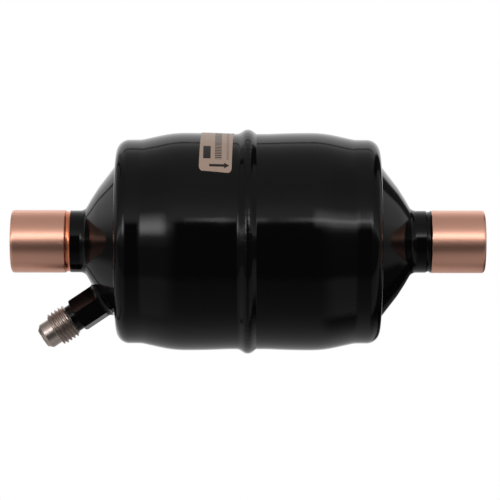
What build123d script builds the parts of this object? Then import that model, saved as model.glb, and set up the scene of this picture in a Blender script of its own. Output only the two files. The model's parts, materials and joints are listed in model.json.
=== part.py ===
"""Hermetic suction-line filter drier, 5/8 in solder sockets, with an access valve on the inlet cone.

Frame: millimetres, origin on the flow axis at the girth weld, +X along the flow (inlet at -X), +Z up.
"""

import math
import os

from build123d import *

# ---- flow axis lengths, measured from the girth seam ------------------------------------------
barrel_crown_x = 19.7
end_face_x = 41.5
cone_top_x = 51.6
neck_end_x = 56.0
connector_end_x = 74.7

# ---- drawn shell halves -----------------------------------------------------------------------
wall = 1.5
barrel_r = 34.05
crown_rise = 0.35
shoulder_drop = 2.2
end_corner_r = 4.1
end_face_width = 3.6
cone_dome_r = 80.0
neck_r = 9.8
neck_fillet_r = 2.5
fall_slope = 2.4
fall_root_r = 60.0
fall_crown_r = 250.0
shoulder_slope = 12.5
shoulder_crown_r = 36.0
shoulder_root_r = 9.0

# ---- girth seam: the outlet rim is joggled in under the inlet rim, and a bead closes the groove ---
rim_gap = 1.1
lap_length = 6.5
lap_clearance = 0.05
joggle_slope = 45.0
joggle_root_r = 1.0
joggle_crown_r = 2.2
joggle_end_x = 2.0
bead_height = 1.4
bead_peak_x = -0.1
bead_inlet_slope = 33.0
bead_inlet_toe_r = 2.5
bead_inlet_crown_r = 2.5
bead_outlet_slope = 38.0
bead_outlet_crown_r = 2.6
bead_outlet_toe_r = 0.3

# ---- solder sockets for 5/8 in tube ---------------------------------------------------------------
tube_od = 15.88
socket_clearance = 0.06
socket_depth = 12.7
socket_chamfer = 0.5
sleeve_r = 9.9
sleeve_edge_r = 1.0
port_r = 6.9
spigot_clearance = 0.05
spigot_inner_x = 48.5
braze_width = 1.5
braze_waist_depth = 0.35

# ---- access valve body, along its own axis outwards from the cone --------------------------------
valve_foot_inset = 6.1
valve_tilt_from_normal = 1.64
valve_tail_length = 4.0
valve_tail_r = 4.0
valve_hole_clearance = 0.05
hex_flats = 10.0
hex_turn = 11.0
hex_length = 9.4
hex_chamfer_slope = 30.0
relief_length = 2.05
relief_r = 4.465
thread_length = 6.1
thread_r = 5.556
thread_chamfer = 0.5
pilot_length = 3.3
pilot_r = 4.225
flare_length = 1.1
tip_land = 0.2
valve_passage_r = 1.5
foot_braze_r = 7.2
foot_braze_height = 1.0
foot_braze_inner_r = 4.6
foot_braze_hollow_r = 2.2

# ---- valve core, sizes inwards from the valve's tip -----------------------------------------------
core_thread_r = 2.6
core_thread_depth = 6.0
core_taper_depth = 7.2
core_bore_r = 2.05
core_chamber_depth = 14.0
core_fit = 0.04
plug_inset = 0.9
plug_length = 4.0
plug_hole_r = 0.95
plug_wing_width = 2.5
plug_wing_height = 1.5
plug_recess_depth = 0.8
barrel_neck_r = 1.4
barrel_length = 4.0
barrel_cavity_r = 1.15
barrel_floor = 0.6
barrel_floor_hole_r = 0.7
barrel_nose_r = 1.3
barrel_nose_height = 0.35
seal_groove_depth = 0.35
seal_length = 0.9
pin_r = 0.5
pin_inset = 0.55
pin_head_r = 0.75
pin_head_length = 0.5
pin_collar_r = 1.0
pin_collar_inset = 0.3
pin_collar_length = 0.3
seat_washer_r = 1.5
seat_washer_length = 0.8
seat_cup_wall = 0.2
seat_cup_length = 0.9
pin_rivet_length = 0.3
core_spring_wire = 0.28
core_spring_r = 0.83
core_spring_turns = 4

# ---- inside the shell -----------------------------------------------------------------------------
sheet = 1.0
plate_skirt_inset = 0.5
plate_height = 4.0
plate_bend_r = 1.2
plate_hole_r = 2.0
plate_ring_inset = 7.1
plate_ring_step = 6.5
plate_outer_hole_count = 16
plate_inner_hole_count = 10
spring_boss_r = 6.5
spring_boss_height = 2.5
outlet_hole_r = 1.5
outlet_hole_ring_r = 4.6
outlet_hole_count = 6
gasket_thickness = 2.0
pad_r = 11.2
pad_gap = 0.1
screen_thickness = 0.4
block_clearance = 3.7
block_length = 56.0
block_inlet_inset = 0.5
block_bore_r = 9.0
block_floor = 8.0
block_chamfer = 1.0
cap_sheet = 0.8
cap_skirt = 5.0
cap_clearance = 0.15
cap_boss_r = 7.5
cap_boss_height = 1.2
spring_wire = 2.0
spring_turns = 3.0
spring_small_r = 9.5
spring_large_r = 17.0

# ---- label ----------------------------------------------------------------------------------------
label_centre_x = -9.5
label_width = 10.1
label_half_angle = 51.0
label_tilt = 1.4
label_corner_r = 1.2
label_thickness = 0.12

crown_r = barrel_r + crown_rise
end_neck_r = crown_r - shoulder_drop
cone_base_r = end_neck_r - end_corner_r - end_face_width
socket_r = tube_od / 2 + socket_clearance
neck_bore_r = neck_r - wall
spigot_r = neck_bore_r - spigot_clearance
end_wall_x = end_face_x - wall
flow_axis = Axis.X
section = Plane.XZ


def cosd(angle):
    return math.cos(math.radians(angle))


def sind(angle):
    return math.sin(math.radians(angle))


def ogee_bend(first_r, second_r, slope, rise):
    """Slope of the flank: the stated one, or less where the arcs alone already make the rise."""
    return min(slope, math.degrees(math.acos(1 - rise / (first_r + second_r))))


def ogee_flank(first_r, second_r, slope, rise):
    """Length of the straight flank between the two arcs of an ogee."""
    bend = ogee_bend(first_r, second_r, slope, rise)
    return (rise - (first_r + second_r) * (1 - cosd(bend))) / sind(bend)


def ogee_run(first_r, second_r, slope, rise):
    """Length that an ogee takes along the axis."""
    bend = ogee_bend(first_r, second_r, slope, rise)
    flank = ogee_flank(first_r, second_r, slope, rise)
    return (first_r + second_r) * sind(bend) + flank * cosd(bend)


def ogee(start, heading, first_r, second_r, slope, rise, turn):
    """Two tangent arcs joined by a straight flank; turn is +1 to bend left first, -1 right."""
    bend = ogee_bend(first_r, second_r, slope, rise) * turn
    flank = ogee_flank(first_r, second_r, slope, rise)
    end = JernArc(start, heading, first_r, bend)
    if flank > 0.001:
        end = PolarLine(end @ 1, flank, direction=end % 1)
    return JernArc(end @ 1, end % 1, second_r, -bend)


def barrel_outline(side, land_start):
    """Line of the barrel from its land to its crown; side is +1 for outlet, -1 for inlet."""
    fall_x = barrel_crown_x - ogee_run(fall_root_r, fall_crown_r, fall_slope, crown_rise)
    land = Line(land_start, (side * fall_x, Vector(land_start).Y))
    return ogee(land @ 1, (side, 0), fall_root_r, fall_crown_r, fall_slope, crown_rise, side)


def half_outline(side, land_start):
    """Outer line of a shell half from its land to the end of its neck."""
    heading = (side, 0)
    crown = barrel_outline(side, land_start)
    shoulder = ogee(
        crown @ 1, heading, shoulder_crown_r, shoulder_root_r, shoulder_slope, shoulder_drop, -side
    )
    end_neck = Line(shoulder @ 1, (side * (end_face_x - end_corner_r), end_neck_r))
    corner = JernArc(end_neck @ 1, heading, end_corner_r, -90 * side)
    face = Line(corner @ 1, (side * end_face_x, cone_base_r))
    cone = RadiusArc(face @ 1, (side * cone_top_x, neck_r), -cone_dome_r * side)
    neck = Line(cone @ 1, (side * neck_end_x, neck_r))
    fillet(neck.vertices().sort_by(Axis.X)[0 if side > 0 else -1], neck_fillet_r)


def dome_centre():
    """Centre of the arc that the domed cone has in section."""
    base = Vector(end_face_x, cone_base_r)
    chord = Vector(cone_top_x, neck_r) - base
    drop = math.sqrt(cone_dome_r**2 - (chord.length / 2) ** 2)
    inward = Vector(chord.Y, -chord.X).normalized()
    return base + chord / 2 + inward * drop


def cone_normal(radius):
    """Angle between the flow axis and the cone's normal at this radius."""
    return math.degrees(math.asin((radius - dome_centre().Y) / cone_dome_r))


def cone_x(radius):
    """Distance from the seam at which the domed cone has this radius."""
    return dome_centre().X + cone_dome_r * cosd(cone_normal(radius))


# ---- shell halves: one drawn wall each ------------------------------------------------------------
with BuildPart() as inlet_shell:
    with BuildSketch(section):
        with BuildLine():
            half_outline(-1, (-rim_gap, barrel_r))
            offset(amount=wall, side=Side.LEFT)
        make_face()
    revolve(axis=flow_axis)

with BuildPart() as outlet_shell:
    with BuildSketch(section):
        with BuildLine():
            joggle_rise = wall + lap_clearance
            joggle_sizes = (joggle_root_r, joggle_crown_r, joggle_slope, joggle_rise)
            lip_end_x = joggle_end_x - ogee_run(*joggle_sizes)
            lip = Line((-lap_length, barrel_r - joggle_rise), (lip_end_x, barrel_r - joggle_rise))
            joggle = ogee(lip @ 1, (1, 0), *joggle_sizes, 1)
            half_outline(1, joggle @ 1)
            offset(amount=wall, side=Side.RIGHT)
        make_face()
    revolve(axis=flow_axis)
outlet_shell.part.label = "outlet_shell"

# ---- girth weld: crowned bead, its root filling the groove between rim and joggle ------------------
with BuildPart() as girth_weld:
    with BuildSketch(section):
        with BuildLine():
            inlet_flank = (bead_inlet_toe_r, bead_inlet_crown_r, bead_inlet_slope, bead_height)
            outlet_flank = (bead_outlet_crown_r, bead_outlet_toe_r, bead_outlet_slope, bead_height)
            toe_x = bead_peak_x - ogee_run(*inlet_flank)
            rise = ogee((toe_x, barrel_r), (1, 0), *inlet_flank, 1)
            fall = ogee(rise @ 1, (1, 0), *outlet_flank, -1)
            Polyline(
                fall @ 1,
                (joggle_end_x, barrel_r),
                (joggle_end_x, barrel_r - wall / 2),
                (lip_end_x + wall / 2, barrel_r - joggle_rise),
                (-rim_gap, barrel_r - joggle_rise),
                (-rim_gap, barrel_r),
                (toe_x, barrel_r),
            )
        make_face()
    revolve(axis=flow_axis)
    add(outlet_shell.part, mode=Mode.SUBTRACT)
girth_weld.part.label = "girth_weld"

# ---- solder connectors and the braze metal that holds them in the necks -----------------------------
sleeve_start_x = neck_end_x + braze_width
with BuildPart() as outlet_connector:
    with BuildSketch(section) as turned:
        Polygon(
            (spigot_inner_x, port_r),
            (spigot_inner_x, spigot_r),
            (sleeve_start_x, spigot_r),
            (sleeve_start_x, sleeve_r),
            (connector_end_x, sleeve_r),
            (connector_end_x, socket_r),
            (connector_end_x - socket_depth, socket_r),
            (connector_end_x - socket_depth, port_r),
            align=None,
        )
        mouth = turned.vertices().group_by(Axis.X)[-1].sort_by(Axis.Y)
        fillet(mouth[-1], sleeve_edge_r)
        chamfer(mouth[0], socket_chamfer)
    revolve(axis=flow_axis)
outlet_connector.part.label = "outlet_connector"

with BuildPart() as inlet_connector:
    mirror(outlet_connector.part, about=Plane.YZ)
inlet_connector.part.label = "inlet_connector"

with BuildPart() as outlet_braze_ring:
    with BuildSketch(section):
        with BuildLine():
            waist = ThreePointArc(
                (neck_end_x, neck_r),
                ((neck_end_x + sleeve_start_x) / 2, neck_r - braze_waist_depth),
                (sleeve_start_x, neck_r),
            )
            Polyline(waist @ 1, (sleeve_start_x, spigot_r), (neck_end_x, spigot_r), waist @ 0)
        make_face()
    revolve(axis=flow_axis)
outlet_braze_ring.part.label = "outlet_braze_ring"

with BuildPart() as inlet_braze_ring:
    mirror(outlet_braze_ring.part, about=Plane.YZ)
inlet_braze_ring.part.label = "inlet_braze_ring"

# ---- access valve body: hex, thread blank and flare tip turned about the valve's own axis -----------
valve_foot_r = cone_base_r - valve_foot_inset
valve_tilt = cone_normal(valve_foot_r) - valve_tilt_from_normal
valve_out = Vector(-cosd(valve_tilt), 0, -sind(valve_tilt))
valve_foot = Vector(-cone_x(valve_foot_r), 0, -valve_foot_r)
valve_axis = Axis(valve_foot, valve_out)
valve_section = Plane(valve_foot, x_dir=valve_out, z_dir=(0, -1, 0))
valve_across = Plane(valve_foot, x_dir=(0, 1, 0), z_dir=valve_out)

hex_corner_r = hex_flats / 2 / cosd(30)
hex_chamfer_length = (hex_corner_r - hex_flats / 2) * math.tan(math.radians(hex_chamfer_slope))
thread_start = hex_length + relief_length
thread_end = thread_start + thread_length
flare_start = thread_end + pilot_length
flare_end = flare_start + flare_length
flare_tip_r = pilot_r - flare_length
tip = flare_end + tip_land


def depth(distance):
    """Place on the valve's axis this far in from its tip."""
    return tip - distance


with BuildPart() as access_valve_body:
    with BuildSketch(valve_across):
        RegularPolygon(radius=hex_flats / 2, side_count=6, major_radius=False, rotation=hex_turn)
    extrude(amount=hex_length)
    with BuildSketch(valve_section):
        Polygon(
            (0, 0),
            (0, hex_corner_r),
            (hex_length - hex_chamfer_length, hex_corner_r),
            (hex_length, hex_flats / 2),
            (hex_length, 0),
            align=None,
        )
    revolve(axis=valve_axis, mode=Mode.INTERSECT)
    with BuildSketch(valve_section):
        Polygon(
            (-valve_tail_length, 0),
            (-valve_tail_length, valve_tail_r),
            (0, valve_tail_r),
            (hex_length, relief_r),
            (thread_start, relief_r),
            (thread_start, thread_r - thread_chamfer),
            (thread_start + thread_chamfer, thread_r),
            (thread_end - thread_chamfer, thread_r),
            (thread_end, thread_r - thread_chamfer),
            (thread_end, pilot_r),
            (flare_start, pilot_r),
            (flare_end, flare_tip_r),
            (tip, flare_tip_r),
            (tip, 0),
            align=None,
        )
    revolve(axis=valve_axis)
    with BuildSketch(valve_section):
        Polygon(
            (-valve_tail_length, 0),
            (-valve_tail_length, valve_passage_r),
            (depth(core_chamber_depth), valve_passage_r),
            (depth(core_chamber_depth), core_bore_r),
            (depth(core_taper_depth), core_bore_r),
            (depth(core_thread_depth), core_thread_r),
            (tip, core_thread_r),
            (tip, 0),
            align=None,
        )
    revolve(axis=valve_axis, mode=Mode.SUBTRACT)
access_valve_body.part.label = "access_valve_body"

with inlet_shell:
    with BuildSketch(valve_across.offset(-valve_tail_length)):
        Circle(valve_tail_r + valve_hole_clearance)
    extrude(amount=valve_tail_length + wall, mode=Mode.SUBTRACT)
inlet_shell.part.label = "inlet_shell"

with BuildPart() as access_valve_braze:
    with BuildSketch(valve_section):
        with BuildLine():
            fillet_top = (foot_braze_height, hex_corner_r)
            fillet_toe = (-wall / 2, foot_braze_r)
            RadiusArc(fillet_top, fillet_toe, foot_braze_hollow_r)
            Polyline(
                fillet_toe,
                (-wall / 2, foot_braze_inner_r),
                (foot_braze_height, foot_braze_inner_r),
                fillet_top,
            )
        make_face()
    revolve(axis=valve_axis)
    add(inlet_shell.part, mode=Mode.SUBTRACT)
    add(access_valve_body.part, mode=Mode.SUBTRACT)
access_valve_braze.part.label = "access_valve_braze"

# ---- valve core: threaded plug, barrel with its ring seal, sprung pin with seat ----------------------
plug_top = depth(plug_inset)
plug_bottom = plug_top - plug_length
barrel_top = plug_bottom
barrel_bottom = barrel_top - barrel_length
nose_bottom = barrel_bottom - barrel_nose_height
barrel_outer_r = core_bore_r - core_fit
collar_top = barrel_top - pin_collar_inset
collar_bottom = collar_top - pin_collar_length
washer_bottom = nose_bottom - seat_washer_length
cup_bottom = washer_bottom - seat_cup_wall
pin_top = depth(pin_inset)
seal_top = depth(core_thread_depth) - core_fit
seal_bottom = seal_top - seal_length
seal_inner_r = barrel_outer_r - seal_groove_depth

with BuildPart() as core_plug:
    with BuildSketch(valve_section):
        Polygon(
            (plug_bottom, barrel_neck_r + core_fit),
            (plug_bottom, core_thread_r - core_fit),
            (plug_top, core_thread_r - core_fit),
            (plug_top, plug_hole_r),
            (plug_bottom + plug_recess_depth, plug_hole_r),
            (plug_bottom + plug_recess_depth, barrel_neck_r + core_fit),
            align=None,
        )
    revolve(axis=valve_axis)
    with BuildSketch(valve_across.offset(plug_top)):
        Rectangle(4 * core_thread_r, 4 * core_thread_r)
        Rectangle(plug_wing_width, 4 * core_thread_r, mode=Mode.SUBTRACT)
    extrude(amount=-plug_wing_height, mode=Mode.SUBTRACT)
core_plug.part.label = "core_plug"

with BuildPart() as core_barrel:
    with BuildSketch(valve_section):
        Polygon(
            (nose_bottom, barrel_floor_hole_r),
            (nose_bottom, barrel_nose_r),
            (barrel_bottom, barrel_nose_r),
            (barrel_bottom, barrel_outer_r),
            (seal_bottom, barrel_outer_r),
            (seal_bottom, seal_inner_r),
            (seal_top, seal_inner_r),
            (seal_top, barrel_outer_r),
            (barrel_top, barrel_outer_r),
            (barrel_top, barrel_neck_r),
            (barrel_top + plug_recess_depth, barrel_neck_r),
            (barrel_top + plug_recess_depth, barrel_cavity_r),
            (barrel_bottom + barrel_floor, barrel_cavity_r),
            (barrel_bottom + barrel_floor, barrel_floor_hole_r),
            align=None,
        )
    revolve(axis=valve_axis)
core_barrel.part.label = "core_barrel"


def bore_radius(place):
    """Radius of the valve body's tapered core seat at a place on its axis."""
    share = (place - depth(core_taper_depth)) / (core_taper_depth - core_thread_depth)
    return core_bore_r + (core_thread_r - core_bore_r) * share


with BuildPart() as core_barrel_seal:
    with BuildSketch(valve_section):
        Polygon(
            (seal_bottom, seal_inner_r),
            (seal_bottom, bore_radius(seal_bottom)),
            (seal_top, bore_radius(seal_top)),
            (seal_top, seal_inner_r),
            align=None,
        )
    revolve(axis=valve_axis)
core_barrel_seal.part.label = "core_barrel_seal"

with BuildPart() as core_pin:
    with BuildSketch(valve_section):
        Polygon(
            (cup_bottom - pin_rivet_length, 0),
            (cup_bottom - pin_rivet_length, pin_head_r),
            (cup_bottom, pin_head_r),
            (cup_bottom, pin_r),
            (collar_bottom, pin_r),
            (collar_bottom, pin_collar_r),
            (collar_top, pin_collar_r),
            (collar_top, pin_r),
            (pin_top - pin_head_length, pin_r),
            (pin_top - pin_head_length, pin_head_r),
            (pin_top, pin_head_r),
            (pin_top, 0),
            align=None,
        )
    revolve(axis=valve_axis)
core_pin.part.label = "core_pin"

with BuildPart() as core_seat_washer:
    with BuildSketch(valve_section):
        Polygon(
            (washer_bottom, pin_r),
            (washer_bottom, seat_washer_r),
            (nose_bottom, seat_washer_r),
            (nose_bottom, pin_r),
            align=None,
        )
    revolve(axis=valve_axis)
core_seat_washer.part.label = "core_seat_washer"

with BuildPart() as core_seat_cup:
    with BuildSketch(valve_section):
        Polygon(
            (cup_bottom, pin_r),
            (cup_bottom, seat_washer_r + seat_cup_wall),
            (cup_bottom + seat_cup_length, seat_washer_r + seat_cup_wall),
            (cup_bottom + seat_cup_length, seat_washer_r),
            (washer_bottom, seat_washer_r),
            (washer_bottom, pin_r),
            align=None,
        )
    revolve(axis=valve_axis)
core_seat_cup.part.label = "core_seat_cup"

core_spring_start = barrel_bottom + barrel_floor + core_spring_wire / 2
core_spring_height = collar_bottom - core_spring_wire / 2 - core_spring_start
with BuildPart() as core_spring:
    with BuildLine() as coil:
        Helix(
            pitch=core_spring_height / core_spring_turns,
            height=core_spring_height,
            radius=core_spring_r,
            center=valve_foot + valve_out * core_spring_start,
            direction=valve_out,
        )
    with BuildSketch(Plane(coil.line @ 0, z_dir=coil.line % 0)):
        Circle(core_spring_wire / 2)
    sweep(is_frenet=True)
core_spring.part.label = "core_spring"

# ---- pressed plates that stand on the end walls ------------------------------------------------------
plate_face_x = end_wall_x - plate_height
plate_skirt_r = end_neck_r - end_corner_r - plate_skirt_inset
plate_outer_ring_r = plate_skirt_r - plate_ring_inset
plate_inner_ring_r = plate_outer_ring_r - plate_ring_step

with BuildPart() as inlet_plate:
    with BuildSketch(section):
        with BuildLine():
            FilletPolyline(
                (-end_wall_x, plate_skirt_r),
                (-plate_face_x, plate_skirt_r),
                (-plate_face_x, spring_boss_r),
                (spring_boss_height - plate_face_x, spring_boss_r),
                (spring_boss_height - plate_face_x, 0),
                radius=plate_bend_r,
            )
            offset(amount=sheet, side=Side.RIGHT)
        make_face()
    revolve(axis=flow_axis)
    with BuildSketch(Plane.YZ.offset(-end_wall_x)):
        with PolarLocations(plate_outer_ring_r, plate_outer_hole_count):
            Circle(plate_hole_r)
        with PolarLocations(plate_inner_ring_r, plate_inner_hole_count):
            Circle(plate_hole_r)
    extrude(amount=plate_height + sheet, mode=Mode.SUBTRACT)
inlet_plate.part.label = "inlet_plate"

with BuildPart() as outlet_plate:
    with BuildSketch(section):
        with BuildLine():
            FilletPolyline(
                (end_wall_x, plate_skirt_r),
                (plate_face_x, plate_skirt_r),
                (plate_face_x, 0),
                radius=plate_bend_r,
            )
            offset(amount=sheet, side=Side.LEFT)
        make_face()
    revolve(axis=flow_axis)
    with BuildSketch(Plane.YZ.offset(plate_face_x)):
        Circle(outlet_hole_r)
        with PolarLocations(outlet_hole_ring_r, outlet_hole_count):
            Circle(outlet_hole_r)
    extrude(amount=sheet, mode=Mode.SUBTRACT)
outlet_plate.part.label = "outlet_plate"

# ---- filter stack between the outlet plate and the block --------------------------------------------
block_r = end_neck_r - wall - block_clearance
block_inlet_r = block_r - block_inlet_inset
block_outlet_x = plate_face_x - gasket_thickness
block_inlet_x = block_outlet_x - block_length
screen_x = plate_face_x - screen_thickness

with BuildPart() as outlet_screen:
    with BuildSketch(Plane.YZ.offset(screen_x)):
        Circle(pad_r)
    extrude(amount=screen_thickness)
outlet_screen.part.label = "outlet_screen"

with BuildPart() as filter_pad:
    with BuildSketch(Plane.YZ.offset(block_outlet_x)):
        Circle(pad_r)
    extrude(amount=gasket_thickness - screen_thickness)
filter_pad.part.label = "filter_pad"

with BuildPart() as end_gasket:
    with BuildSketch(Plane.YZ.offset(block_outlet_x)):
        Circle(block_r - block_chamfer)
        Circle(pad_r + pad_gap, mode=Mode.SUBTRACT)
    extrude(amount=gasket_thickness)
end_gasket.part.label = "end_gasket"

# ---- moulded desiccant block, blind bore open at the outlet -------------------------------------------
with BuildPart() as desiccant_block:
    with BuildSketch(section) as moulding:
        Polygon(
            (block_inlet_x, 0),
            (block_inlet_x, block_inlet_r),
            (block_outlet_x, block_r),
            (block_outlet_x, block_bore_r),
            (block_inlet_x + block_floor, block_bore_r - block_inlet_inset),
            (block_inlet_x + block_floor, 0),
            align=None,
        )
        chamfer(moulding.vertices().group_by(Axis.Y)[-2:], block_chamfer)
    revolve(axis=flow_axis)
desiccant_block.part.label = "desiccant_block"

# ---- cap and conical spring that press the block against its gasket ------------------------------------
cap_bore_r = block_inlet_r + block_inlet_inset * cap_skirt / block_length + cap_clearance
cap_face_x = block_inlet_x - cap_sheet

with BuildPart() as spring_cap:
    with BuildSketch(section):
        with BuildLine():
            FilletPolyline(
                (block_inlet_x + cap_skirt, cap_bore_r),
                (block_inlet_x, cap_bore_r),
                (block_inlet_x, cap_boss_r),
                (block_inlet_x - cap_boss_height, cap_boss_r),
                (block_inlet_x - cap_boss_height, 0),
                radius=cap_boss_height / 3,
            )
            offset(amount=cap_sheet, side=Side.RIGHT)
        make_face()
    revolve(axis=flow_axis)
spring_cap.part.label = "spring_cap"

spring_seat_x = -plate_face_x + spring_wire / 2
spring_height = cap_face_x - spring_wire / 2 - spring_seat_x
with BuildPart() as block_spring:
    with BuildLine() as cone_coil:
        Helix(
            pitch=spring_height / spring_turns,
            height=spring_height,
            radius=spring_large_r,
            center=(spring_seat_x, 0, 0),
            direction=(1, 0, 0),
            cone_angle=-math.degrees(math.atan((spring_large_r - spring_small_r) / spring_height)),
        )
    with BuildSketch(Plane(cone_coil.line @ 0, z_dir=cone_coil.line % 0)):
        Circle(spring_wire / 2)
    sweep(is_frenet=True)
block_spring.part.label = "block_spring"

# ---- label: foil wrapped over the top of the inlet half ------------------------------------------------
label_plane = Plane((label_centre_x, 0, 0), x_dir=(cosd(label_tilt), -sind(label_tilt), 0))
with BuildPart() as label:
    with BuildSketch(label_plane):
        RectangleRounded(label_width, 2 * crown_r * sind(label_half_angle), label_corner_r)
    extrude(amount=2 * crown_r)
    for height, keep in ((label_thickness, Mode.INTERSECT), (0, Mode.SUBTRACT)):
        with BuildSketch(section):
            with BuildLine():
                start = (0, barrel_r + height)
                skin = barrel_outline(-1, start)
                Polyline(skin @ 1, (-barrel_crown_x, 0), (0, 0), start)
            make_face()
        revolve(axis=flow_axis, mode=keep)
label.part.label = "label"

pieces = (
    inlet_shell,
    outlet_shell,
    girth_weld,
    inlet_connector,
    outlet_connector,
    inlet_braze_ring,
    outlet_braze_ring,
    access_valve_body,
    access_valve_braze,
    core_plug,
    core_barrel,
    core_barrel_seal,
    core_pin,
    core_seat_cup,
    core_seat_washer,
    core_spring,
    inlet_plate,
    block_spring,
    spring_cap,
    desiccant_block,
    end_gasket,
    filter_pad,
    outlet_screen,
    outlet_plate,
    label,
)
os.makedirs("parts", exist_ok=True)
for piece in pieces:
    export_step(piece.part, f"parts/{piece.part.label}.step")
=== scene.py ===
# %% [markdown]
# A hermetic suction-line filter drier: two drawn steel halves welded round the middle and enamelled
# black, copper solder sockets at both ends and an access valve on the inlet cone.
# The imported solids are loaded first, because they fix every size and place. The cells below only
# dress them: each builds one visible piece over its solid, in metres, about the same flow axis (X).

import json
import math

import bpy
from mathutils import Matrix, Vector


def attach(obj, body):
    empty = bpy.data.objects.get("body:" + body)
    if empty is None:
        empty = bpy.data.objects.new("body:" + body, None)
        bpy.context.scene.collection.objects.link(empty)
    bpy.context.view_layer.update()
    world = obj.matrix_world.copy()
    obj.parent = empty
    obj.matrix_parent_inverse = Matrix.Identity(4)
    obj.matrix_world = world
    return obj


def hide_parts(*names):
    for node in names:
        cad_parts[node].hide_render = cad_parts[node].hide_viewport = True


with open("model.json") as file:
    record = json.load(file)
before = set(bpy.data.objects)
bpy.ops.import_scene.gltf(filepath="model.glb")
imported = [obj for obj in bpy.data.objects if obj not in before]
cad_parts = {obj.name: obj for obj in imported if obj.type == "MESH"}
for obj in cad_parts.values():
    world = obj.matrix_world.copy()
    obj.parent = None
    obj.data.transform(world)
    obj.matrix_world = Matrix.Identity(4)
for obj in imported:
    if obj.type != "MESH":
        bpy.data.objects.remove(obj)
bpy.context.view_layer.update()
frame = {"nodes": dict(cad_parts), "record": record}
nodes = frame["nodes"]
print("solids in the frame:", len(nodes))

# %% [markdown]
# Most of the drier is turned or spun about an axis, so its pieces are told by half a section: a line of
# (along, radius) points. Small helpers draw such lines. One samples an arc through two points, and
# one rounds a corner the way a press tool or a lathe tool leaves it. Sizes are given in millimetres.

# %% Section lines
MM = 0.001
ARC_STEP = math.radians(4)
FEWEST_CHORDS = 3


def arc(start, end, radius, bulge=1):
    """Points from start to end on an arc that bulges to the left (1) or right (-1) of the way there."""
    start, end = Vector(start), Vector(end)
    chord = end - start
    across = Vector((-chord.y, chord.x)).normalized() * bulge
    half = math.asin(chord.length / 2 / radius)
    centre = (start + end) / 2 - across * radius * math.cos(half)
    first = math.atan2(start.y - centre.y, start.x - centre.x)
    count = max(int(2 * half / ARC_STEP) + 1, FEWEST_CHORDS)
    turns = [first - bulge * 2 * half * i / count for i in range(count + 1)]
    return [(centre.x + radius * math.cos(a), centre.y + radius * math.sin(a)) for a in turns]


def rounded(before, corner, after, radius):
    """Points of the fillet at a corner between two straight runs."""
    corner = Vector(corner)
    back, on = (Vector(before) - corner).normalized(), (Vector(after) - corner).normalized()
    half = back.angle(on) / 2
    reach = radius / math.tan(half)
    bulge = 1 if back.cross(on) > 0 else -1
    return arc(corner + back * reach, corner + on * reach, radius, bulge)


def section(*corners):
    """A line from (along, radius) or (along, radius, fillet) corners."""
    line = []
    for i, corner in enumerate(corners):
        if len(corner) == 3 and 0 < i < len(corners) - 1:
            line += rounded(corners[i - 1][:2], corner[:2], corners[i + 1][:2], corner[2])
        else:
            line.append(corner[:2])
    return line


print("fillet of 1 mm:", len(section((0, 0), (5, 0, 1.0), (5, 5))), "points")

# %% [markdown]
# Geometry Nodes and materials are both trees of nodes, and by hand each node takes several lines. These
# helpers add a node and link it in one line, and write sums of values as calls inside each other.

# %% Node helpers
def put(tree, kind, inputs=(), **settings):
    """Add a node, set its options, and link or set its inputs."""
    made = tree.nodes.new(kind)
    for name, value in settings.items():
        setattr(made, name, value)
    for name, value in dict(inputs).items():
        if isinstance(value, bpy.types.NodeSocket):
            tree.links.new(value, made.inputs[name])
        else:
            made.inputs[name].default_value = value
    return made


def calc(tree, operation, *values):
    """A Math node of either kind of tree; returns its result."""
    return put(tree, "ShaderNodeMath", dict(enumerate(values)), operation=operation).outputs[0]


def times(tree, first, *others):
    """The product of two or more values."""
    for other in others:
        first = calc(tree, "MULTIPLY", first, other)
    return first


def new_rule(name, sockets):
    """An empty Geometry Nodes group with named inputs and one geometry output."""
    tree = bpy.data.node_groups.new(name, "GeometryNodeTree")
    tree.interface.new_socket("Geometry", in_out="OUTPUT", socket_type="NodeSocketGeometry")
    for label, kind in sockets:
        tree.interface.new_socket(label, in_out="INPUT", socket_type=kind)
    return tree, put(tree, "NodeGroupInput").outputs, put(tree, "NodeGroupOutput")


# %% [markdown]
# The turned pieces share one Geometry Nodes rule, the lathe: a flat grid is wrapped round the axis, and
# each row of it takes its place along the axis and its radius from one point of the section line. A
# Screw modifier could do the plain ones, but the weld and the valve change the radius on its way round,
# so the rule is cut in two: a start that gives each point's place, and an end that wraps the grid.

# %% Start and end of a lathe rule
LATHE_SOCKETS = [
    ("Section", "NodeSocketObject"),
    ("Rows", "NodeSocketInt"),
    ("Columns", "NodeSocketInt"),
    ("Material", "NodeSocketMaterial"),
]
SEAM_GAP = 1e-6


def lathe_start(tree, given):
    """The flat grid and, for each of its points, the place along the axis, radius and angle."""
    grid = put(tree, "GeometryNodeMeshGrid", {"Size X": 1.0, "Size Y": 1.0})
    tree.links.new(calc(tree, "ADD", given["Columns"], 1), grid.inputs["Vertices X"])
    tree.links.new(given["Rows"], grid.inputs["Vertices Y"])
    place = put(tree, "ShaderNodeSeparateXYZ", {0: put(tree, "GeometryNodeInputPosition").outputs[0]})
    angle = calc(tree, "MULTIPLY", calc(tree, "ADD", place.outputs[0], 0.5), math.tau)
    share = calc(tree, "ADD", place.outputs[1], 0.5)
    row = calc(tree, "ROUND", calc(tree, "MULTIPLY", share, calc(tree, "SUBTRACT", given["Rows"], 1)))
    line = put(tree, "GeometryNodeObjectInfo", {"Object": given["Section"]})
    point = put(
        tree,
        "GeometryNodeSampleIndex",
        {
            "Geometry": line.outputs["Geometry"],
            "Value": put(tree, "GeometryNodeInputPosition").outputs[0],
            "Index": row,
        },
        data_type="FLOAT_VECTOR",
    )
    at = put(tree, "ShaderNodeSeparateXYZ", {0: point.outputs[0]})
    return grid.outputs["Mesh"], at.outputs[0], at.outputs[2], angle


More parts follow.
